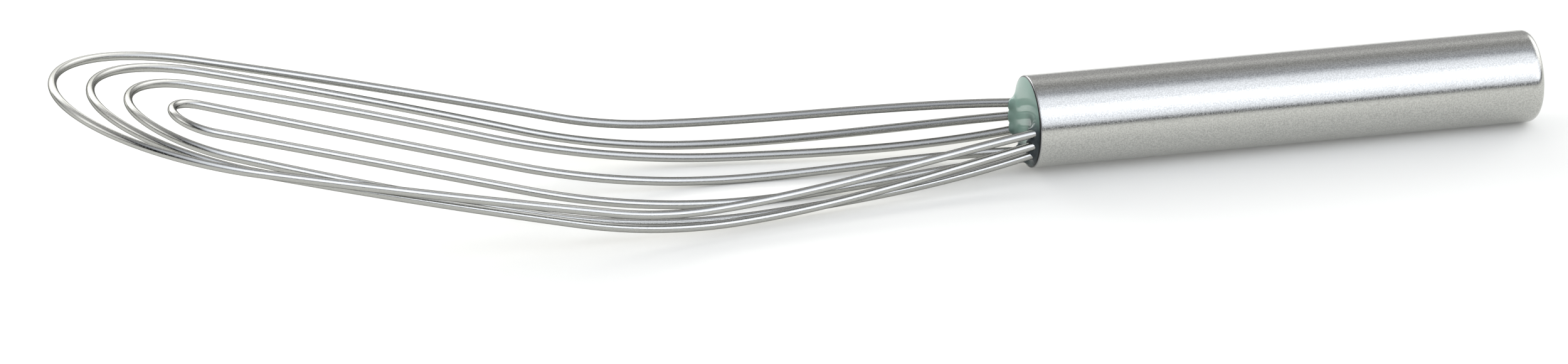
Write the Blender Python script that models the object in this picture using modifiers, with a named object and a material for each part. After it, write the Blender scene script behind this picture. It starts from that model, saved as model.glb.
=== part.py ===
"""A flat whisk: four nested wire loops, fanned out nearly flat and set with resin in a steel tube.

Metres, +Z up. The whisk lies on the ground as it does on a table, with its head towards -X and its
handle towards +X. It rests on the low bend of the inner loop, and the handle is level, just clear of
the table.
"""

import math
from collections import namedtuple

import bmesh
import bpy

# Handle: a seamless tube, its butt end rolled inwards to a flat lip that holds a stepped plug.
TUBE_DIAMETER = 0.0190
TUBE_WALL = 0.0005
TUBE_LENGTH = 0.1087
MOUTH_CHAMFER = 0.00015
BUTT_RADIUS = 0.0020
BUTT_LIP = 0.0020
PLUG_FLANGE_THICKNESS = 0.0014

# Resin that sets the wires in the mouth, and the disc that it was poured against.
FIT_GAP = 0.00025
RESIN_BEHIND_WIRES = 0.0060
RESIN_SKIN = 0.0001
RESIN_RIM_INSET = 0.0002
RESIN_RIM_RISE = 0.0002
RESIN_CROWN = 0.0008
COLLAR_RISE = 0.00125
COLLAR_REACH = 0.0008
RESIN_FALL_POWER = 5
CUTTER_OVERSHOOT = 2.0
DAM_THICKNESS = 0.0040
DAM_WALL = 0.0030
DAM_DISH_DEPTH = 0.0015
DAM_CHAMFER = 0.0007

# Wire, and how its legs stand side by side in the mouth.
WIRE_DIAMETER = 0.0018
WIRE_ANCHOR = 0.0320
MOUTH_BEND = 0.0040
LEG_SPACE = 0.00095
INNER_LEG_SPACE = 0.0013
OUTER_SEAT_ANGLE = 7.0

# How far the low bend of the inner loop holds the handle off the table.
HEAD_LIFT = 0.00085

# Fineness of the round surfaces.
TURN_STEPS = 64
SEAL_TURN_STEPS = 72
CORNER_STEPS = 4
LEG_STEPS = 26
BEND_STEPS = 4
BOW_STEPS = 11
WIRE_BEVEL_RESOLUTION = 3
RESIN_RINGS = 15

# Worked out from the sizes above.
TUBE_RADIUS = TUBE_DIAMETER / 2
BORE_RADIUS = TUBE_RADIUS - TUBE_WALL
BUTT_FLAT_RADIUS = TUBE_RADIUS - BUTT_RADIUS
BUTT_OPENING_RADIUS = BUTT_FLAT_RADIUS - BUTT_LIP
RESIN_RADIUS = BORE_RADIUS - FIT_GAP
RESIN_DEPTH = WIRE_ANCHOR + RESIN_BEHIND_WIRES
WIRE_RADIUS = WIRE_DIAMETER / 2
SEAT_RADIUS = RESIN_RADIUS - RESIN_SKIN - FIT_GAP - WIRE_RADIUS
SEAT_STEP = 2 * math.degrees(math.asin((WIRE_DIAMETER + LEG_SPACE) / 2 / SEAT_RADIUS))
INNER_SEAT = math.degrees(math.asin((WIRE_DIAMETER + INNER_LEG_SPACE) / 2 / SEAT_RADIUS)) - 90
AXIS_HEIGHT = TUBE_RADIUS + HEAD_LIFT

# A loop is measured from the mouth of the tube towards the head. Its two legs stand on a circle
# inside the tube at seat_angle (degrees above the middle, negative below it), leave at the slopes
# flare (sideways) and dip (downwards), and are lowest at belly_at, belly_lift above the table.
# Over the length curl they turn up towards the tip, whose wire is tip_rise above the table and
# reach from the mouth. Seen from above the legs spread to bow_half either side, draw in at the
# slope bow_taper, and meet in a round end bow_depth long.
Loop = namedtuple(
    "Loop",
    "seat_angle flare dip belly_at belly_lift curl tip_rise bow_half bow_taper bow_depth reach",
)


def inside(outer, tip_drop, side_step, tip_step, **own_sizes):
    """A loop nested in another: its tip and its sides are stepped in from the outer one's."""
    return outer._replace(
        tip_rise=outer.tip_rise - tip_drop,
        bow_half=outer.bow_half - side_step,
        reach=outer.reach - tip_step,
        **own_sizes,
    )


OUTER_LOOP = Loop(
    seat_angle=OUTER_SEAT_ANGLE,
    flare=0.247,
    dip=0.024,
    belly_at=0.0729,
    belly_lift=0.00645,
    curl=0.0210,
    tip_rise=0.03625,
    bow_half=0.0275,
    bow_taper=-0.009,
    bow_depth=0.0350,
    reach=0.2030,
)
SECOND_LOOP = inside(
    OUTER_LOOP,
    tip_drop=0.0019,
    side_step=0.0029,
    tip_step=0.0077,
    seat_angle=OUTER_SEAT_ANGLE - SEAT_STEP,
    flare=0.209,
    dip=0.096,
    belly_at=OUTER_LOOP.belly_at - 0.0069,
    belly_lift=0.00215,
    curl=0.0352,
    bow_taper=0.03,
    bow_depth=0.0280,
)
THIRD_LOOP = inside(
    SECOND_LOOP,
    tip_drop=0.0023,
    side_step=0.00725,
    tip_step=0.0076,
    seat_angle=OUTER_SEAT_ANGLE - 2 * SEAT_STEP,
    flare=0.133,
    dip=0.187,
    belly_at=OUTER_LOOP.belly_at - 0.0129,
    belly_lift=0.00097,
    curl=0.0500,
    bow_taper=0.107,
    bow_depth=0.0160,
)
INNER_LOOP = inside(
    THIRD_LOOP,
    tip_drop=0.0023,
    side_step=0.0105,
    tip_step=0.0088,
    seat_angle=INNER_SEAT,
    flare=0.105,
    dip=-0.022,
    belly_at=OUTER_LOOP.belly_at - 0.0141,
    belly_lift=0.0,
    curl=0.0479,
    bow_taper=-0.025,
    bow_depth=0.0074,
)
LOOPS = {
    "wire_loop_outer": OUTER_LOOP,
    "wire_loop_second": SECOND_LOOP,
    "wire_loop_third": THIRD_LOOP,
    "wire_loop_inner": INNER_LOOP,
}
OVERALL_REACH = OUTER_LOOP.reach + WIRE_RADIUS
MOUTH_X = (OVERALL_REACH - TUBE_LENGTH) / 2


def clear_scene():
    for obj in list(bpy.data.objects):
        bpy.data.objects.remove(obj, do_unlink=True)


def new_collection(name, hidden=False):
    collection = bpy.data.collections.new(name)
    bpy.context.scene.collection.children.link(collection)
    collection.hide_render = hidden
    return collection


def material(name, colour, roughness, metallic=0.0, transmission=0.0):
    made = bpy.data.materials.new(name)
    made.use_nodes = True
    shader = made.node_tree.nodes["Principled BSDF"]
    shader.inputs["Base Color"].default_value = (*colour, 1.0)
    shader.inputs["Roughness"].default_value = roughness
    shader.inputs["Metallic"].default_value = metallic
    shader.inputs["Transmission Weight"].default_value = transmission
    return made


def shade_round(mesh, angle=math.radians(40)):
    mesh.shade_smooth()
    mesh.set_sharp_from_angle(angle=angle)


def arc(centre_radius, centre_at, size, first, last):
    """Points (radius, distance) of a rounded corner, from one angle to the other."""
    turns = [first + (last - first) * step / CORNER_STEPS for step in range(CORNER_STEPS + 1)]
    return [
        (centre_radius + size * math.cos(turn), centre_at + size * math.sin(turn)) for turn in turns
    ]


def applied(solid):
    """The mesh that the object's modifiers make, as the object's own."""
    bpy.context.view_layer.update()
    graph = bpy.context.evaluated_depsgraph_get()
    solid.data = bpy.data.meshes.new_from_object(solid.evaluated_get(graph))
    solid.modifiers.clear()
    return solid.data


def turned(name, profile, closed, surface, collection, steps=TURN_STEPS):
    """A solid turned about the handle's axis from points (radius, distance into the tube).

    The profile runs down its outer side, from the butt towards the mouth. The object's +Z points
    along the tube, and its -X points up.
    """
    mesh = bpy.data.meshes.new(name)
    edges = [(index, index + 1) for index in range(len(profile) - 1)]
    if closed:
        edges.append((len(profile) - 1, 0))
    mesh.from_pydata([(radius, 0.0, at) for radius, at in profile], edges, [])
    mesh.materials.append(surface)
    solid = bpy.data.objects.new(name, mesh)
    collection.objects.link(solid)
    solid.location = (MOUTH_X, 0.0, AXIS_HEIGHT)
    solid.rotation_euler = (0.0, math.pi / 2, 0.0)
    screw = solid.modifiers.new("turn", "SCREW")
    screw.axis = "Z"
    screw.angle = 2 * math.pi
    screw.steps = steps
    screw.render_steps = steps
    screw.use_merge_vertices = True
    screw.merge_threshold = 0.00001
    shade_round(applied(solid))
    return solid


def handle_tube(steel, collection):
    """Thin tube with a rolled butt, left open in the middle of its end for the plug."""
    corner_at = TUBE_LENGTH - BUTT_RADIUS
    quarter = math.pi / 2
    profile = [(BUTT_OPENING_RADIUS, TUBE_LENGTH)]
    profile += arc(BUTT_FLAT_RADIUS, corner_at, BUTT_RADIUS, quarter, 0.0)
    profile += [(TUBE_RADIUS, MOUTH_CHAMFER), (TUBE_RADIUS - MOUTH_CHAMFER, 0.0)]
    profile += [(BORE_RADIUS, 0.0)]
    profile += arc(BUTT_FLAT_RADIUS, corner_at, BUTT_RADIUS - TUBE_WALL, 0.0, quarter)
    profile += [(BUTT_OPENING_RADIUS, TUBE_LENGTH - TUBE_WALL)]
    return turned("handle_tube", profile, True, steel, collection)


def end_plug(steel, collection):
    """Stepped disc that closes the butt: a boss flush with the rolled lip, a flange behind it."""
    boss = BUTT_OPENING_RADIUS - FIT_GAP
    seat_at = TUBE_LENGTH - TUBE_WALL - FIT_GAP
    profile = [
        (0.0, TUBE_LENGTH),
        (boss, TUBE_LENGTH),
        (boss, seat_at),
        (BUTT_FLAT_RADIUS, seat_at),
        (BUTT_FLAT_RADIUS, seat_at - PLUG_FLANGE_THICKNESS),
        (0.0, seat_at - PLUG_FLANGE_THICKNESS),
    ]
    return turned("end_plug", profile, False, steel, collection)


def resin_dam(rubber, collection):
    """Soft disc pushed into the tube before the resin is poured, dished on its far side."""
    near = RESIN_DEPTH + FIT_GAP
    far = near + DAM_THICKNESS
    edge = BORE_RADIUS - FIT_GAP
    dish = edge - DAM_WALL
    profile = [
        (0.0, far - DAM_DISH_DEPTH),
        (dish - DAM_DISH_DEPTH, far - DAM_DISH_DEPTH),
        (dish, far),
        (edge - DAM_CHAMFER, far),
        (edge, far - DAM_CHAMFER),
        (edge, near),
        (0.0, near),
    ]
    return turned("resin_dam", profile, False, rubber, collection)


def eased(share, start, start_slope, end, end_slope, length):
    """Cubic that leaves and arrives at the given slopes; share runs from 0 to 1 over the length."""
    square, cube = share**2, share**3
    return (
        start * (2 * cube - 3 * square + 1)
        + length * start_slope * (cube - 2 * square + share)
        + end * (3 * square - 2 * cube)
        + length * end_slope * (cube - square)
    )


def inside_bend(at_mouth, slope, ahead):
    """Within the tube a leg straightens over MOUTH_BEND until it runs along the axis."""
    left = max(ahead + MOUTH_BEND, 0.0)
    return at_mouth - slope * MOUTH_BEND / 2 + slope * left**2 / (2 * MOUTH_BEND)


def leg_spread(loop, ahead):
    """Half the distance between the two legs, not counting how the round end draws them in."""
    seat = SEAT_RADIUS * math.cos(math.radians(loop.seat_angle))
    bow_at = loop.reach - loop.bow_depth
    if ahead < 0:
        return inside_bend(seat, loop.flare, ahead)
    if ahead > bow_at:
        return loop.bow_half - loop.bow_taper * (ahead - bow_at)
    return eased(ahead / bow_at, seat, loop.flare, loop.bow_half, -loop.bow_taper, bow_at)


def leg_height(loop, ahead):
    """Height of the wire's centre above the table."""
    seat = AXIS_HEIGHT + SEAT_RADIUS * math.sin(math.radians(loop.seat_angle))
    belly = WIRE_RADIUS + loop.belly_lift
    tip = loop.tip_rise
    if ahead < 0:
        return inside_bend(seat, -loop.dip, ahead)
    if ahead < loop.belly_at:
        return eased(ahead / loop.belly_at, seat, -loop.dip, belly, 0.0, loop.belly_at)
    climb = (tip - belly) / (loop.reach - loop.belly_at - loop.curl / 2)
    past = ahead - loop.belly_at
    if past < loop.curl:
        return belly + climb * past**2 / (2 * loop.curl)
    return belly + climb * (past - loop.curl / 2)


def place(loop, ahead, side, pull=1.0):
    return (MOUTH_X - ahead, side * pull * leg_spread(loop, ahead), leg_height(loop, ahead))


def inside_stations(depth):
    """Distances along a leg inside the tube, from its end to just short of the mouth."""
    bend = [-MOUTH_BEND * (1 - step / BEND_STEPS) for step in range(BEND_STEPS)]
    return [-depth, -(depth + MOUTH_BEND) / 2] + bend


def loop_points(loop):
    """The whole wire, from the end of one leg round the head to the end of the other."""
    bow_at = loop.reach - loop.bow_depth
    leg = inside_stations(WIRE_ANCHOR)
    leg += [bow_at * step / LEG_STEPS for step in range(LEG_STEPS + 1)]
    turns = [math.pi / 2 * step / BOW_STEPS for step in range(1, BOW_STEPS)]
    bow = [(bow_at + loop.bow_depth * math.sin(turn), math.cos(turn)) for turn in turns]
    points = [place(loop, ahead, 1) for ahead in leg]
    points += [place(loop, ahead, 1, pull) for ahead, pull in bow]
    points.append(place(loop, loop.reach, 1, 0.0))
    points += [place(loop, ahead, -1, pull) for ahead, pull in reversed(bow)]
    points += [place(loop, ahead, -1) for ahead in reversed(leg)]
    return points


def round_wire(name, points, radius, surface, collection):
    curve = bpy.data.curves.new(name, "CURVE")
    curve.dimensions = "3D"
    curve.bevel_depth = radius
    curve.bevel_resolution = WIRE_BEVEL_RESOLUTION
    curve.use_fill_caps = True
    spline = curve.splines.new("POLY")
    spline.points.add(len(points) - 1)
    for point, at in zip(spline.points, points):
        point.co = (*at, 1.0)
    spline.use_smooth = True
    if surface:
        curve.materials.append(surface)
    wire = bpy.data.objects.new(name, curve)
    collection.objects.link(wire)
    return wire


def leg_cutter(name, loop, side, collection):
    """A leg's path through the resin, wider than the wire by the fit gap, as a mesh."""
    past_the_face = CUTTER_OVERSHOOT * (RESIN_RIM_RISE + RESIN_CROWN + COLLAR_RISE)
    stations = inside_stations(WIRE_ANCHOR + FIT_GAP) + [0.0, past_the_face / 2, past_the_face]
    points = [place(loop, ahead, side) for ahead in stations]
    guide = round_wire(name + "_guide", points, WIRE_RADIUS + FIT_GAP, None, collection)
    bpy.context.view_layer.update()
    graph = bpy.context.evaluated_depsgraph_get()
    mesh = bpy.data.meshes.new_from_object(guide.evaluated_get(graph))
    cutter = bpy.data.objects.new(name, mesh)
    cutter.matrix_world = guide.matrix_world
    bpy.data.objects.remove(guide, do_unlink=True)
    shape = bmesh.new()
    shape.from_mesh(mesh)
    bmesh.ops.remove_doubles(shape, verts=shape.verts, dist=0.000001)
    bmesh.ops.recalc_face_normals(shape, faces=shape.faces)
    shape.to_mesh(mesh)
    shape.free()
    collection.objects.link(cutter)
    cutter.hide_render = True
    cutter.display_type = "WIRE"
    return cutter


def resin_swell(across, height, edge_radius):
    """How far the resin stands out of the mouth: a low crown, drawn up in a bank round each leg."""
    bank = 0.0
    for loop in LOOPS.values():
        angle = math.radians(loop.seat_angle)
        for side in (-1, 1):
            seat = (side * SEAT_RADIUS * math.cos(angle), SEAT_RADIUS * math.sin(angle))
            clear = math.hypot(across - seat[0], height - seat[1]) - WIRE_RADIUS
            bank += COLLAR_RISE * math.exp(-max(clear, 0.0) / COLLAR_REACH)
    fall = 1 - (math.hypot(across, height) / edge_radius) ** RESIN_FALL_POWER
    return (RESIN_CROWN + min(bank, COLLAR_RISE)) * max(fall, 0.0)


def throat_seal(resin, collection, cutters):
    """Resin that fills the mouth, laps over the tube's rim and climbs a little up every wire."""
    edge = TUBE_RADIUS - RESIN_RIM_INSET
    face = -FIT_GAP - RESIN_RIM_RISE
    profile = [(0.0, RESIN_DEPTH), (RESIN_RADIUS, RESIN_DEPTH), (RESIN_RADIUS, -FIT_GAP)]
    profile.append((edge, -FIT_GAP))
    profile += [(edge * (1 - ring / RESIN_RINGS), face) for ring in range(RESIN_RINGS + 1)]
    seal = turned("throat_seal", profile, False, resin, collection, steps=SEAL_TURN_STEPS)
    for vertex in seal.data.vertices:
        if vertex.co.z < -FIT_GAP - RESIN_RIM_RISE / 2:
            vertex.co.z -= resin_swell(vertex.co.y, -vertex.co.x, edge)
    cut = seal.modifiers.new("leg_holes", "BOOLEAN")
    cut.operation = "DIFFERENCE"
    cut.operand_type = "COLLECTION"
    cut.collection = cutters
    cut.solver = "EXACT"
    return seal


def build():
    clear_scene()
    whisk = new_collection("flat_whisk")
    cutters = new_collection("leg_cutters", hidden=True)
    satin_steel = material("satin_steel", (0.60, 0.60, 0.59), 0.32, metallic=1.0)
    polished_steel = material("polished_steel", (0.72, 0.72, 0.72), 0.12, metallic=1.0)
    grey_green_resin = material("grey_green_resin", (0.42, 0.55, 0.48), 0.08, transmission=0.4)
    dark_rubber = material("dark_rubber", (0.05, 0.05, 0.05), 0.7)

    handle_tube(satin_steel, whisk)
    end_plug(satin_steel, whisk)
    resin_dam(dark_rubber, whisk)
    for name, loop in LOOPS.items():
        round_wire(name, loop_points(loop), WIRE_RADIUS, polished_steel, whisk)
        for side, word in ((1, "left"), (-1, "right")):
            leg_cutter(f"{name}_{word}_hole", loop, side, cutters)
    throat_seal(grey_green_resin, whisk, cutters)


build()
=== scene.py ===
"""The looks of the flat whisk: satin tube handle, glossy resin and four polished wire loops.

Metres, +Z up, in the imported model's own frame. The whisk lies on the floor with its head towards
-X and its handle towards +X.
"""

import math
from collections import namedtuple

import bmesh
import bpy
from mathutils import Matrix, Vector


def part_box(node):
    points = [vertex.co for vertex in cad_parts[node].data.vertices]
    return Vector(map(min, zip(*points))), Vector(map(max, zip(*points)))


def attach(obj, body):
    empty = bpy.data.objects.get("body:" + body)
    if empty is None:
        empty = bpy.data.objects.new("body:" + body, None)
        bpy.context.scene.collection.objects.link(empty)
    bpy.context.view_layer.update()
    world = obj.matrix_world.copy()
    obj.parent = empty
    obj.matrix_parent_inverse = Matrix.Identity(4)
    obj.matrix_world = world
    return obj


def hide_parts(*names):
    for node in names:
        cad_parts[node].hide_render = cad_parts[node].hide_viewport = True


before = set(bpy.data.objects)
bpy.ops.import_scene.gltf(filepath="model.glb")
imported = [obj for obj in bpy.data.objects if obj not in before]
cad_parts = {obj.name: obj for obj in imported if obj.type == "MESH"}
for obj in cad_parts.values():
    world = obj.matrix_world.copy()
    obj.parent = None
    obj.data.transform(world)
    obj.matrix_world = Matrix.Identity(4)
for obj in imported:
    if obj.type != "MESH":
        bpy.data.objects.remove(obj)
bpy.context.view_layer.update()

tube_low, tube_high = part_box("handle_tube")
TUBE_RADIUS = (tube_high.z - tube_low.z) / 2
MOUTH = Vector((tube_low.x, 0.0, tube_low.z + TUBE_RADIUS))
TUBE_LENGTH = tube_high.x - tube_low.x


# Camera: where the photograph was taken from, looking down on the whisk from its -Y side, a little
# from the head's end. The middle of the tube's mouth shows at MOUTH_PIXEL of the 2500 x 580 frame.
CAMERA_DISTANCE = 2.5
CAMERA_DOWN = math.radians(25.0)
CAMERA_TURN = math.radians(16.653)
CAMERA_ROLL = math.radians(1.880)
FRAME_WIDTH = 2500
FRAME_HEIGHT = 580
FOCAL_PIXELS = 19559
SENSOR_MM = 36.0
CAMERA_REACH = 50.0
MOUTH_PIXEL = (1638.26, 193.71)

camera_data = bpy.data.cameras.new("camera")
camera_data.sensor_width = SENSOR_MM
camera_data.lens = SENSOR_MM * FOCAL_PIXELS / FRAME_WIDTH
camera_data.clip_end = CAMERA_REACH
looks_along = Vector(
    (
        math.sin(CAMERA_TURN) * math.cos(CAMERA_DOWN),
        math.cos(CAMERA_TURN) * math.cos(CAMERA_DOWN),
        -math.sin(CAMERA_DOWN),
    )
)
level_right = Vector((math.cos(CAMERA_TURN), -math.sin(CAMERA_TURN), 0.0))
level_up = level_right.cross(looks_along)
right = math.cos(CAMERA_ROLL) * level_right + math.sin(CAMERA_ROLL) * level_up
up = math.cos(CAMERA_ROLL) * level_up - math.sin(CAMERA_ROLL) * level_right
metres_per_pixel = CAMERA_DISTANCE / FOCAL_PIXELS
across = (MOUTH_PIXEL[0] - FRAME_WIDTH / 2) * metres_per_pixel
below = (MOUTH_PIXEL[1] - FRAME_HEIGHT / 2) * metres_per_pixel
camera = bpy.data.objects.new("camera", camera_data)
camera.matrix_world = Matrix.Translation(
    MOUTH - across * right + below * up - CAMERA_DISTANCE * looks_along
) @ Matrix((right, up, -looks_along)).transposed().to_4x4()
bpy.context.scene.collection.objects.link(camera)
bpy.context.scene.camera = camera
bpy.context.scene.view_settings.view_transform = "Standard"


# Floor and light: a white table in a soft light tent, with a slightly blue window in front on the
# right and a soft lamp behind the head. The table slopes by a third of a degree, so that it touches
# both the inner loop's low bend and the butt, on which the whisk rests.
FLOOR_SIDE = 12.0
LOW_BEND_AT = -0.0112
FLOOR_CLEAR = 0.00003
FLOOR_COLOUR = (0.815, 0.81, 0.765)
FLOOR_GLOW = 0.10
ROOM_LIGHT = 0.30
ROOM_COLOUR = (1.0, 1.0, 1.01)
ROOM_PANELS = (
    (-163, 25, 30, 2.30),
    (-105, 25, 34, 0.70),
    (-75, 25, 34, 1.50),
    (-45, 25, 34, -0.30),
    (-14, 25, 34, -0.30),
    (107, 25, 34, 1.70),
    (130, 25, 24, 1.60),
    (163, 25, 34, 0.25),
    (-110, 60, 34, 0.50),
    (-45, 60, 34, -0.30),
    (125, 60, 34, -0.30),
    (163, 60, 34, 0.44),
    (0, 90, 34, -0.13),
)
WINDOW_COLOUR = (0.955, 1.0, 1.12)
WINDOW_PANELS = (
    (16.7, 25, 34, 1.25),
    (50, 25, 34, 1.64),
    (17, 60, 34, 1.10),
    (75, 60, 34, 0.50),
)
PANEL_CORE = 6
HORIZON_DARK = 0.04
HORIZON_FROM = math.sin(math.radians(4.5))
HORIZON_TO = math.sin(math.radians(12))
BEHIND_FROM = -0.3
BEHIND_TO = 0.2
HEAD_LAMP_AT = (-0.16, 0.28, 0.11)
HEAD_LAMP_SIZE = (0.30, 0.24)
HEAD_LAMP_LIGHT = 3.2

floor_shape = bmesh.new()
bmesh.ops.create_grid(floor_shape, x_segments=1, y_segments=1, size=FLOOR_SIDE / 2)
floor_slope = tube_low.z / (tube_high.x - LOW_BEND_AT)
for vertex in floor_shape.verts:
    vertex.co.z = floor_slope * (vertex.co.x - LOW_BEND_AT) - FLOOR_CLEAR
floor_mesh = bpy.data.meshes.new("floor")
floor_shape.to_mesh(floor_mesh)
floor_shape.free()
floor = bpy.data.objects.new("floor", floor_mesh)
bpy.context.scene.collection.objects.link(floor)


def math_node(tree, operation, first, second):
    """A Math node of that operation on two sockets or numbers; returns its output."""
    node = tree.nodes.new("ShaderNodeMath")
    node.operation = operation
    for socket, value in zip(node.inputs, (first, second)):
        if isinstance(value, bpy.types.NodeSocket):
            tree.links.new(value, socket)
        else:
            socket.default_value = value
    return node.outputs[0]


floor_paper = bpy.data.materials.new("floor_paper")
floor_paper.use_nodes = True
paper_tree = floor_paper.node_tree
paper_tree.nodes.clear()
floor_out = paper_tree.nodes.new("ShaderNodeOutputMaterial")
floor_lit = paper_tree.nodes.new("ShaderNodeBsdfDiffuse")
floor_lit.inputs["Color"].default_value = (*FLOOR_COLOUR, 1.0)
floor_glow = paper_tree.nodes.new("ShaderNodeEmission")
light_path = paper_tree.nodes.new("ShaderNodeLightPath").outputs
seen = math_node(paper_tree, "MAXIMUM", light_path["Is Camera Ray"], light_path["Is Glossy Ray"])
seen = math_node(paper_tree, "MAXIMUM", seen, light_path["Is Transmission Ray"])
glow = math_node(paper_tree, "MULTIPLY", seen, FLOOR_GLOW)
both = paper_tree.nodes.new("ShaderNodeAddShader")
paper_tree.links.new(glow, floor_glow.inputs["Strength"])
paper_tree.links.new(floor_lit.outputs[0], both.inputs[0])
paper_tree.links.new(floor_glow.outputs[0], both.inputs[1])
paper_tree.links.new(both.outputs[0], floor_out.inputs["Surface"])
floor_mesh.materials.append(floor_paper)

tent = bpy.data.worlds.new("tent")
tent.use_nodes = True
tent_tree = tent.node_tree
background = tent_tree.nodes["Background"]
sky = tent_tree.nodes.new("ShaderNodeTexCoord")
sky_split = tent_tree.nodes.new("ShaderNodeSeparateXYZ")
tent_tree.links.new(sky.outputs["Generated"], sky_split.inputs[0])


def smooth_step(tree, value, start, end, low, high):
    """A value that goes smoothly from low to high as the socket goes from start to end."""
    step = tree.nodes.new("ShaderNodeMapRange")
    step.interpolation_type = "SMOOTHSTEP"
    for name, number in (
        ("From Min", start),
        ("From Max", end),
        ("To Min", low),
        ("To Max", high),
    ):
        step.inputs[name].default_value = number
    tree.links.new(value, step.inputs["Value"])
    return step.outputs["Result"]


def panels(light, places):
    """That light plus soft round panels of the tent (azimuth, elevation, radius, light).

    The angles are in degrees. Azimuth 0 is in front of the whisk, on the camera's side, and 90 is
    beyond its handle. A panel has its full light within PANEL_CORE and fades out to its radius,
    and one of negative light darkens.
    """
    for azimuth, elevation, radius, added in places:
        azimuth, elevation = math.radians(azimuth), math.radians(elevation)
        towards = tent_tree.nodes.new("ShaderNodeVectorMath")
        towards.operation = "DOT_PRODUCT"
        towards.inputs[1].default_value = (
            math.sin(azimuth) * math.cos(elevation),
            -math.cos(azimuth) * math.cos(elevation),
            math.sin(elevation),
        )
        tent_tree.links.new(sky.outputs["Generated"], towards.inputs[0])
        edges = [math.cos(math.radians(angle)) for angle in (radius, PANEL_CORE)]
        panel = smooth_step(tent_tree, towards.outputs["Value"], *edges, 0.0, added)
        light = math_node(tent_tree, "ADD", panel, light)
    return math_node(tent_tree, "MAXIMUM", light, 0.0)


def tinted(light, colour):
    """A colour socket of that light in that colour."""
    node = tent_tree.nodes.new("ShaderNodeVectorMath")
    node.operation = "SCALE"
    node.inputs[0].default_value = colour
    tent_tree.links.new(light, node.inputs["Scale"])
    return node.outputs[0]


room = tinted(panels(ROOM_LIGHT, ROOM_PANELS), ROOM_COLOUR)
window = tinted(panels(0.0, WINDOW_PANELS), WINDOW_COLOUR)
all_light = tent_tree.nodes.new("ShaderNodeVectorMath")
tent_tree.links.new(room, all_light.inputs[0])
tent_tree.links.new(window, all_light.inputs[1])
# In front the tent is dark close to the horizon, which draws the dark line along the tube.
horizon = smooth_step(
    tent_tree, sky_split.outputs["Z"], HORIZON_FROM, HORIZON_TO, HORIZON_DARK, 1.0
)
behind = smooth_step(tent_tree, sky_split.outputs["Y"], BEHIND_FROM, BEHIND_TO, 0.0, 1.0)
horizon = math_node(tent_tree, "MAXIMUM", horizon, behind)
tent_tree.links.new(all_light.outputs[0], background.inputs["Color"])
tent_tree.links.new(horizon, background.inputs["Strength"])
bpy.context.scene.world = tent

lamp_data = bpy.data.lights.new("head_lamp", "AREA")
lamp_data.shape = "RECTANGLE"
lamp_data.size, lamp_data.size_y = HEAD_LAMP_SIZE
lamp_data.energy = HEAD_LAMP_LIGHT * math.pi * HEAD_LAMP_SIZE[0] * HEAD_LAMP_SIZE[1]
towards_front = Matrix.Rotation(-math.pi / 2, 4, "X")
head_lamp = bpy.data.objects.new("head_lamp", lamp_data)
head_lamp.matrix_world = Matrix.Translation(HEAD_LAMP_AT) @ towards_front
head_lamp.visible_camera = False
bpy.context.scene.collection.objects.link(head_lamp)


# Handle tube: seamless stainless tube with a fine satin finish. Its butt is rolled inwards over a
# rounded edge to a flat lip, and its mouth has the edge just broken.
TUBE_WALL = 0.0005
BUTT_RADIUS = 0.0020
BUTT_LIP = 0.0020
MOUTH_EDGE = 0.00018
TUBE_TURN_STEPS = 256
BUTT_SEGMENTS = 12
LIP_SEGMENTS = 8
MOUTH_SEGMENTS = 4
MERGE_DISTANCE = 1e-7
SAME_PLACE = 1e-6
SHARP_ANGLE = math.radians(35)


def finished(shape, name, surface, node, sharp=SHARP_ANGLE):
    """Makes a finished bmesh a piece, shaded smooth but for its sharp edges."""
    bmesh.ops.remove_doubles(shape, verts=shape.verts, dist=MERGE_DISTANCE)
    bmesh.ops.recalc_face_normals(shape, faces=shape.faces)
    mesh = bpy.data.meshes.new(name)
    shape.to_mesh(mesh)
    shape.free()
    mesh.materials.append(surface.material)
    mesh.shade_smooth()
    mesh.set_sharp_from_angle(angle=sharp)
    piece = bpy.data.objects.new(name, mesh)
    bpy.context.scene.collection.objects.link(piece)
    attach(piece, "root")
    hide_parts(node)


def turned(profile, steps, closed=False):
    """A bmesh turned about the handle's axis from points (distance into the tube, radius)."""
    shape = bmesh.new()
    points = [shape.verts.new(MOUTH + Vector((at, 0.0, radius))) for at, radius in profile]
    for first, second in zip(points, points[1:] + points[:1] if closed else points[1:]):
        shape.edges.new((first, second))
    bmesh.ops.spin(
        shape,
        geom=shape.verts[:] + shape.edges[:],
        cent=MOUTH,
        axis=(1.0, 0.0, 0.0),
        angle=2 * math.pi,
        steps=steps,
        use_merge=True,
    )
    return shape


def ring_edges(shape, at, radius):
    """The edges of the ring at that distance into the tube and that radius."""
    found = []
    for edge in shape.edges:
        ends = [vertex.co - MOUTH for vertex in edge.verts]
        if all(
            abs(end.x - at) < SAME_PLACE and abs(math.hypot(end.y, end.z) - radius) < SAME_PLACE
            for end in ends
        ):
            found.append(edge)
    return found


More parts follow.
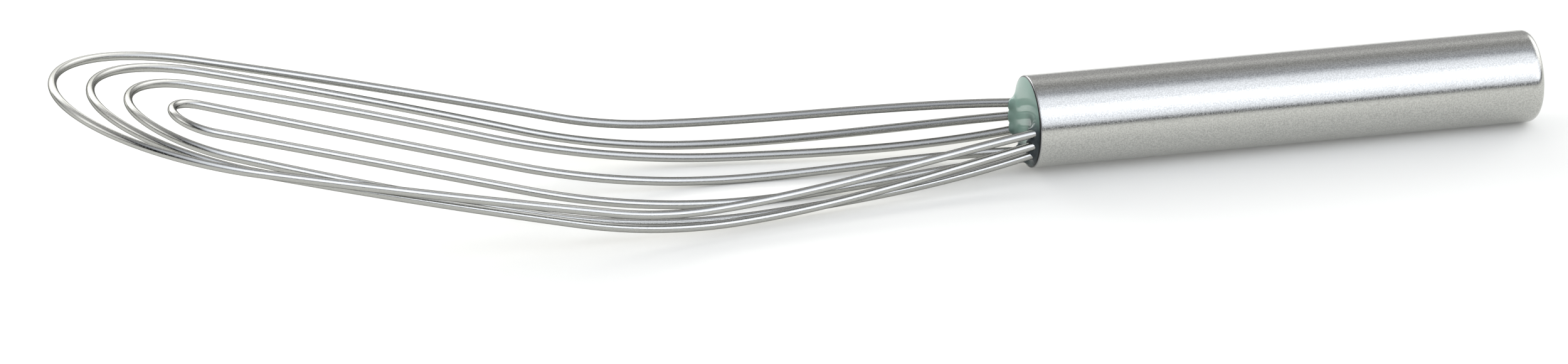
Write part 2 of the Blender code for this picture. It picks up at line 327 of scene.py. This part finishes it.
bore = TUBE_RADIUS - TUBE_WALL
lip_radius = TUBE_RADIUS - BUTT_RADIUS - BUTT_LIP
straight_end = TUBE_LENGTH - 1.5 * BUTT_RADIUS
tube_shape = turned(
    [
        (0.0, TUBE_RADIUS),
        (3 * MOUTH_EDGE, TUBE_RADIUS),
        (straight_end, TUBE_RADIUS),
        (TUBE_LENGTH, TUBE_RADIUS),
        (TUBE_LENGTH, lip_radius),
        (TUBE_LENGTH - TUBE_WALL, lip_radius),
        (TUBE_LENGTH - TUBE_WALL, bore),
        (0.0, bore),
    ],
    TUBE_TURN_STEPS,
    closed=True,
)
for at, radius, size, segments in (
    (TUBE_LENGTH, TUBE_RADIUS, BUTT_RADIUS, BUTT_SEGMENTS),
    (TUBE_LENGTH - TUBE_WALL, bore, BUTT_RADIUS - TUBE_WALL, LIP_SEGMENTS),
    (0.0, TUBE_RADIUS, MOUTH_EDGE, MOUTH_SEGMENTS),
):
    bmesh.ops.bevel(
        tube_shape,
        geom=ring_edges(tube_shape, at, radius),
        offset=size,
        segments=segments,
        profile=0.5,
        affect="EDGES",
        material=-1,
    )

SATIN_COLOUR = (0.420, 0.420, 0.397)
SATIN_GRAIN_COLOUR = (0.562, 0.562, 0.532)
SATIN_ROUGHNESS = (0.16, 0.24)
SATIN_GRAIN = 0.00028
SATIN_GRAIN_DEPTH = 0.0000008
# The cut edge's darker colour is painted shade, which dims its bright reflection at the mouth.
CUT_EDGE_SHADE_COLOUR = (0.30, 0.30, 0.30)
CUT_EDGE_SHADE_FADE = 1.2
GRAIN_DETAIL = 3.0
ROUGHNESS_GRAIN = (0.3, 0.7)
COLOUR_GRAIN = (0.35, 0.65)
MIX_FIRST, MIX_SECOND, MIX_RESULT = 6, 7, 2

Surface = namedtuple("Surface", "material shader tree place grain")


def new_surface(name, colour, roughness, grain_size, grain_depth, metallic=0.0):
    """A Principled material with fine grain in its height and its roughness, a pair of values."""
    made = bpy.data.materials.new(name)
    made.use_nodes = True
    tree = made.node_tree
    shader = tree.nodes["Principled BSDF"]
    shader.inputs["Base Color"].default_value = (*colour, 1.0)
    shader.inputs["Roughness"].default_value = sum(roughness) / 2
    shader.inputs["Metallic"].default_value = metallic
    place = tree.nodes.new("ShaderNodeTexCoord").outputs["Object"]
    noise = tree.nodes.new("ShaderNodeTexNoise")
    noise.inputs["Scale"].default_value = 1 / grain_size
    noise.inputs["Detail"].default_value = GRAIN_DETAIL
    grain = noise.outputs["Fac"]
    bump = tree.nodes.new("ShaderNodeBump")
    bump.inputs["Distance"].default_value = grain_depth
    tree.links.new(place, noise.inputs["Vector"])
    rough = smooth_step(tree, grain, *ROUGHNESS_GRAIN, *roughness)
    tree.links.new(rough, shader.inputs["Roughness"])
    tree.links.new(grain, bump.inputs["Height"])
    tree.links.new(bump.outputs["Normal"], shader.inputs["Normal"])
    return Surface(made, shader, tree, place, grain)


def mixed_colour(tree, share, first, second):
    """A colour that goes from first to second as the share goes from 0 to 1."""
    mix = tree.nodes.new("ShaderNodeMix")
    mix.data_type = "RGBA"
    tree.links.new(share, mix.inputs["Factor"])
    for index, value in ((MIX_FIRST, first), (MIX_SECOND, second)):
        if isinstance(value, bpy.types.NodeSocket):
            tree.links.new(value, mix.inputs[index])
        else:
            mix.inputs[index].default_value = (*value, 1.0)
    return mix.outputs[MIX_RESULT]


satin_steel = new_surface(
    "satin_steel_finish", SATIN_COLOUR, SATIN_ROUGHNESS, SATIN_GRAIN, SATIN_GRAIN_DEPTH, 1.0
)
satin_tree = satin_steel.tree
satin_split = satin_tree.nodes.new("ShaderNodeSeparateXYZ")
satin_tree.links.new(satin_steel.place, satin_split.inputs[0])
grain_share = smooth_step(satin_tree, satin_steel.grain, *COLOUR_GRAIN, 0.0, 1.0)
# Painted shade: the cut edge at the mouth gets a darker colour, so that its reflection shows dim.
cut_edge_shade = smooth_step(
    satin_tree,
    satin_split.outputs["X"],
    MOUTH.x + MOUTH_EDGE,
    MOUTH.x + CUT_EDGE_SHADE_FADE * MOUTH_EDGE,
    1.0,
    0.0,
)
satin_colour = mixed_colour(satin_tree, grain_share, SATIN_COLOUR, SATIN_GRAIN_COLOUR)
satin_colour = mixed_colour(satin_tree, cut_edge_shade, satin_colour, CUT_EDGE_SHADE_COLOUR)
satin_tree.links.new(satin_colour, satin_steel.shader.inputs["Base Color"])
finished(tube_shape, "handle_tube_satin", satin_steel, "handle_tube")


# End plug: a stepped steel disc let into the butt from inside, its boss flush with the rolled lip.
# It has the same satin finish, with a small broken edge round the boss.
PLUG_GAP = 0.00008
PLUG_EDGE = 0.00015
PLUG_EDGE_SEGMENTS = 3
PLUG_FLANGE = 0.0014

boss = lip_radius - PLUG_GAP
flange_at = TUBE_LENGTH - TUBE_WALL - PLUG_GAP
plug_shape = turned(
    [
        (TUBE_LENGTH, 0.0),
        (TUBE_LENGTH, boss - 3 * PLUG_EDGE),
        (TUBE_LENGTH, boss),
        (flange_at, boss),
        (flange_at, TUBE_RADIUS - BUTT_RADIUS),
        (flange_at - PLUG_FLANGE, TUBE_RADIUS - BUTT_RADIUS),
        (flange_at - PLUG_FLANGE, 0.0),
    ],
    TUBE_TURN_STEPS // 2,
)
bmesh.ops.bevel(
    plug_shape,
    geom=ring_edges(plug_shape, TUBE_LENGTH, boss),
    offset=PLUG_EDGE,
    segments=PLUG_EDGE_SEGMENTS,
    profile=0.5,
    affect="EDGES",
    material=-1,
)
finished(plug_shape, "end_plug_satin", satin_steel, "end_plug")


# Wire loops: four lengths of polished stainless wire, each bent into a flat round-ended loop with
# a low bend near the handle. Their legs stand side by side round the mouth, set in the resin.
WIRE_DIAMETER = 0.0018
WIRE_ANCHOR = 0.0320
MOUTH_BEND = 0.0040
SEAT_RADIUS = 0.0075
LEG_STEPS = 84
BEND_STEPS = 6
BOW_STEPS = 36
WIRE_ROUNDNESS = 8
WIRE_RADIUS = WIRE_DIAMETER / 2

# The legs sit at seat_angle round the mouth, in degrees from level, and leave it with the slopes
# flare outwards and dip downwards. The low bend is at belly_at from the mouth, belly_lift above the
# floor, and over the length curl it turns up towards tip_rise. The round end is bow_half from the
# middle where it starts, narrowing by bow_taper, and is bow_depth long, up to reach from the mouth.
Loop = namedtuple(
    "Loop",
    "seat_angle flare dip belly_at belly_lift curl tip_rise bow_half bow_taper bow_depth reach",
)
LOOPS = {
    "wire_loop_outer": Loop(
        7.0, 0.247, 0.024, 0.0729, 0.00645, 0.0210, 0.03625, 0.0275, -0.009, 0.0350, 0.2030
    ),
    "wire_loop_second": Loop(
        -14.13, 0.209, 0.096, 0.0660, 0.00215, 0.0352, 0.03435, 0.0246, 0.03, 0.0280, 0.1953
    ),
    "wire_loop_third": Loop(
        -35.26, 0.133, 0.187, 0.0600, 0.00097, 0.0500, 0.03205, 0.01735, 0.107, 0.0160, 0.1877
    ),
    "wire_loop_inner": Loop(
        -78.07, 0.105, -0.022, 0.0588, 0.0, 0.0479, 0.02975, 0.00685, -0.025, 0.0074, 0.1789
    ),
}


def eased(share, start, start_slope, end, end_slope, length):
    """Cubic that leaves and arrives at the given slopes; share runs from 0 to 1 over the length."""
    square, cube = share**2, share**3
    return (
        start * (2 * cube - 3 * square + 1)
        + length * start_slope * (cube - 2 * square + share)
        + end * (3 * square - 2 * cube)
        + length * end_slope * (cube - square)
    )


def inside_bend(at_mouth, slope, ahead):
    """Within the tube a leg straightens over MOUTH_BEND until it runs along the axis."""
    left = max(ahead + MOUTH_BEND, 0.0)
    return at_mouth - slope * MOUTH_BEND / 2 + slope * left**2 / (2 * MOUTH_BEND)


def leg_spread(loop, ahead):
    """Half the distance between the two legs, before the round end draws them in."""
    seat = SEAT_RADIUS * math.cos(math.radians(loop.seat_angle))
    bow_at = loop.reach - loop.bow_depth
    if ahead < 0:
        return inside_bend(seat, loop.flare, ahead)
    if ahead > bow_at:
        return loop.bow_half - loop.bow_taper * (ahead - bow_at)
    return eased(ahead / bow_at, seat, loop.flare, loop.bow_half, -loop.bow_taper, bow_at)


def leg_height(loop, ahead):
    """Height of the wire's centre above the floor."""
    seat = MOUTH.z + SEAT_RADIUS * math.sin(math.radians(loop.seat_angle))
    belly = WIRE_RADIUS + loop.belly_lift
    if ahead < 0:
        return inside_bend(seat, -loop.dip, ahead)
    if ahead < loop.belly_at:
        return eased(ahead / loop.belly_at, seat, -loop.dip, belly, 0.0, loop.belly_at)
    climb = (loop.tip_rise - belly) / (loop.reach - loop.belly_at - loop.curl / 2)
    past = ahead - loop.belly_at
    if past < loop.curl:
        return belly + climb * past**2 / (2 * loop.curl)
    return belly + climb * (past - loop.curl / 2)


def on_leg(loop, ahead, side, pull=1.0):
    """The wire's centre at that distance ahead of the mouth; a round end pulls it inwards."""
    return Vector((MOUTH.x - ahead, side * pull * leg_spread(loop, ahead), leg_height(loop, ahead)))


def loop_line(loop):
    """The wire's centre line, from the end of one leg round the head to the end of the other."""
    bow_at = loop.reach - loop.bow_depth
    leg = [-WIRE_ANCHOR, -(WIRE_ANCHOR + MOUTH_BEND) / 2]
    leg += [-MOUTH_BEND * (1 - step / BEND_STEPS) for step in range(BEND_STEPS)]
    leg += [bow_at * step / LEG_STEPS for step in range(LEG_STEPS + 1)]
    turns = [math.pi / 2 * step / BOW_STEPS for step in range(1, BOW_STEPS)]
    bow = [(bow_at + loop.bow_depth * math.sin(turn), math.cos(turn)) for turn in turns]
    line = [on_leg(loop, ahead, 1) for ahead in leg]
    line += [on_leg(loop, ahead, 1, pull) for ahead, pull in bow]
    line.append(on_leg(loop, loop.reach, 1, 0.0))
    line += [on_leg(loop, ahead, -1, pull) for ahead, pull in reversed(bow)]
    line += [on_leg(loop, ahead, -1) for ahead in reversed(leg)]
    return line


POLISHED_COLOUR = (0.41, 0.41, 0.388)
POLISHED_ROUGHNESS = (0.16, 0.28)
POLISHED_GRAIN = 0.0003
POLISHED_GRAIN_DEPTH = 0.0000015
POLISHED_EDGE_TINT = (0.2, 0.2, 0.2)
polished_steel = new_surface(
    "polished_steel_finish",
    POLISHED_COLOUR,
    POLISHED_ROUGHNESS,
    POLISHED_GRAIN,
    POLISHED_GRAIN_DEPTH,
    1.0,
)
polished_steel.shader.inputs["Specular Tint"].default_value = (*POLISHED_EDGE_TINT, 1.0)

for name, loop in LOOPS.items():
    line = loop_line(loop)
    curve = bpy.data.curves.new(name, "CURVE")
    curve.dimensions = "3D"
    curve.bevel_depth = WIRE_RADIUS
    curve.bevel_resolution = WIRE_ROUNDNESS
    curve.use_fill_caps = True
    spline = curve.splines.new("POLY")
    spline.points.add(len(line) - 1)
    for point, at in zip(spline.points, line):
        point.co = (*at, 1.0)
    guide = bpy.data.objects.new(name + "_guide", curve)
    bpy.context.scene.collection.objects.link(guide)
    bpy.context.view_layer.update()
    graph = bpy.context.evaluated_depsgraph_get()
    wire_shape = bmesh.new()
    wire_shape.from_mesh(guide.evaluated_get(graph).to_mesh())
    guide.evaluated_get(graph).to_mesh_clear()
    bpy.data.objects.remove(guide, do_unlink=True)
    finished(wire_shape, name + "_polished", polished_steel, name)


# Throat seal: clear grey-green resin, poured round the wires. It fills the mouth to the tube's
# outer edge, stands a little proud, and is drawn up round every leg in a thin collar.
RIM_INSET = 0.00012
RIM_LIFT = 0.0001
RESIN_DEPTH = 0.0380
SEAL_CLEAR = 0.00002
CROWN = 0.0007
RIM_FALL = 5
COLLAR_RISE = 0.0018
COLLAR_REACH = 0.0006
SEAL_TURN_STEPS = 288
SEAL_RINGS = 84

seal_edge = TUBE_RADIUS - RIM_INSET
seal_bore = bore - SEAL_CLEAR
seal_shape = turned(
    [
        (RESIN_DEPTH, 0.0),
        (RESIN_DEPTH, seal_bore),
        (-SEAL_CLEAR, seal_bore),
        (-SEAL_CLEAR, seal_edge),
        *((-RIM_LIFT, seal_edge * (1 - ring / SEAL_RINGS)) for ring in range(SEAL_RINGS + 1)),
    ],
    SEAL_TURN_STEPS,
)
seats = [
    Vector((side * math.cos(angle), math.sin(angle))) * SEAT_RADIUS
    for angle in (math.radians(loop.seat_angle) for loop in LOOPS.values())
    for side in (-1, 1)
]
for vertex in seal_shape.verts:
    if vertex.co.x > MOUTH.x - RIM_LIFT / 2:
        continue
    face_at = Vector((vertex.co.y, vertex.co.z - MOUTH.z))
    drawn = sum(
        math.exp(-max((face_at - seat).length - WIRE_RADIUS, 0.0) / COLLAR_REACH) for seat in seats
    )
    fall = max(1 - (face_at.length / seal_edge) ** RIM_FALL, 0.0)
    vertex.co.x -= (CROWN + COLLAR_RISE * min(drawn, 1.0)) * fall

RESIN_COLOUR = (0.215, 0.325, 0.28)
# The darker resin colour below is painted shade, used round the -Y legs and low down.
SHADED_RESIN_COLOUR = (0.035, 0.045, 0.05)
RESIN_EDGE_COLOUR = (0.01, 0.012, 0.012)
RESIN_ROUGHNESS = (0.03, 0.07)
RESIN_RIPPLE = 0.003
RESIN_RIPPLE_DEPTH = 0.00001
RESIN_IOR = 1.50
RESIN_GLOSS = 0.2
RESIN_EDGE = 0.0002
NEAR_SIDE = (0.0, -0.0065)
ROUND_LEGS = (MOUTH.z + 0.0050, MOUTH.z + 0.0010)
ABOVE_LEGS_SHARE = 0.2
LOW_SIDE = (MOUTH.z - 0.0025, MOUTH.z - 0.0060)
LOW_SIDE_SHARE = 0.9
RESIN_SHARP_ANGLE = math.radians(80)
resin = new_surface(
    "grey_green_resin_finish", RESIN_COLOUR, RESIN_ROUGHNESS, RESIN_RIPPLE, RESIN_RIPPLE_DEPTH
)
resin.shader.inputs["IOR"].default_value = RESIN_IOR
resin.shader.inputs["Specular IOR Level"].default_value = RESIN_GLOSS
resin_split = resin.tree.nodes.new("ShaderNodeSeparateXYZ")
resin.tree.links.new(resin.place, resin_split.inputs[0])

# Painted shade: the resin's colour darkens round the -Y legs and low down, where the near legs and
# the mouth shade it.
near_shade = smooth_step(resin.tree, resin_split.outputs["Y"], *NEAR_SIDE, 0.0, 1.0)
round_legs = smooth_step(resin.tree, resin_split.outputs["Z"], *ROUND_LEGS, ABOVE_LEGS_SHARE, 1.0)
near_shade = math_node(resin.tree, "MULTIPLY", near_shade, round_legs)
low_shade = smooth_step(resin.tree, resin_split.outputs["Z"], *LOW_SIDE, 0.0, LOW_SIDE_SHARE)
resin_shade = math_node(resin.tree, "MAXIMUM", near_shade, low_shade)

# A fine dark line runs where the resin meets the tube.
level_with_axis = resin.tree.nodes.new("ShaderNodeCombineXYZ")
level_with_axis.inputs["Z"].default_value = MOUTH.z
from_axis = resin.tree.nodes.new("ShaderNodeVectorMath")
from_axis.operation = "DISTANCE"
resin.tree.links.new(resin_split.outputs["X"], level_with_axis.inputs["X"])
resin.tree.links.new(resin.place, from_axis.inputs[0])
resin.tree.links.new(level_with_axis.outputs[0], from_axis.inputs[1])
edge_line = smooth_step(
    resin.tree,
    from_axis.outputs["Value"],
    seal_edge - 1.5 * RESIN_EDGE,
    seal_edge - 0.5 * RESIN_EDGE,
    0.0,
    1.0,
)
resin_colour = mixed_colour(resin.tree, resin_shade, RESIN_COLOUR, SHADED_RESIN_COLOUR)
resin_colour = mixed_colour(resin.tree, edge_line, resin_colour, RESIN_EDGE_COLOUR)
resin.tree.links.new(resin_colour, resin.shader.inputs["Base Color"])
finished(
    seal_shape, "throat_seal_gloss", resin, "throat_seal", RESIN_SHARP_ANGLE
)


# Resin dam: the soft black disc inside the tube that the resin was poured against. It is never
# seen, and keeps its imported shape.
RUBBER_COLOUR = (0.03, 0.03, 0.03)
RUBBER_ROUGHNESS = (0.6, 0.8)
RUBBER_GRAIN = 0.0008
RUBBER_GRAIN_DEPTH = 0.00002
rubber = new_surface(
    "dark_rubber_finish", RUBBER_COLOUR, RUBBER_ROUGHNESS, RUBBER_GRAIN, RUBBER_GRAIN_DEPTH
)
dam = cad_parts["resin_dam"]
dam.data.materials.clear()
dam.data.materials.append(rubber.material)
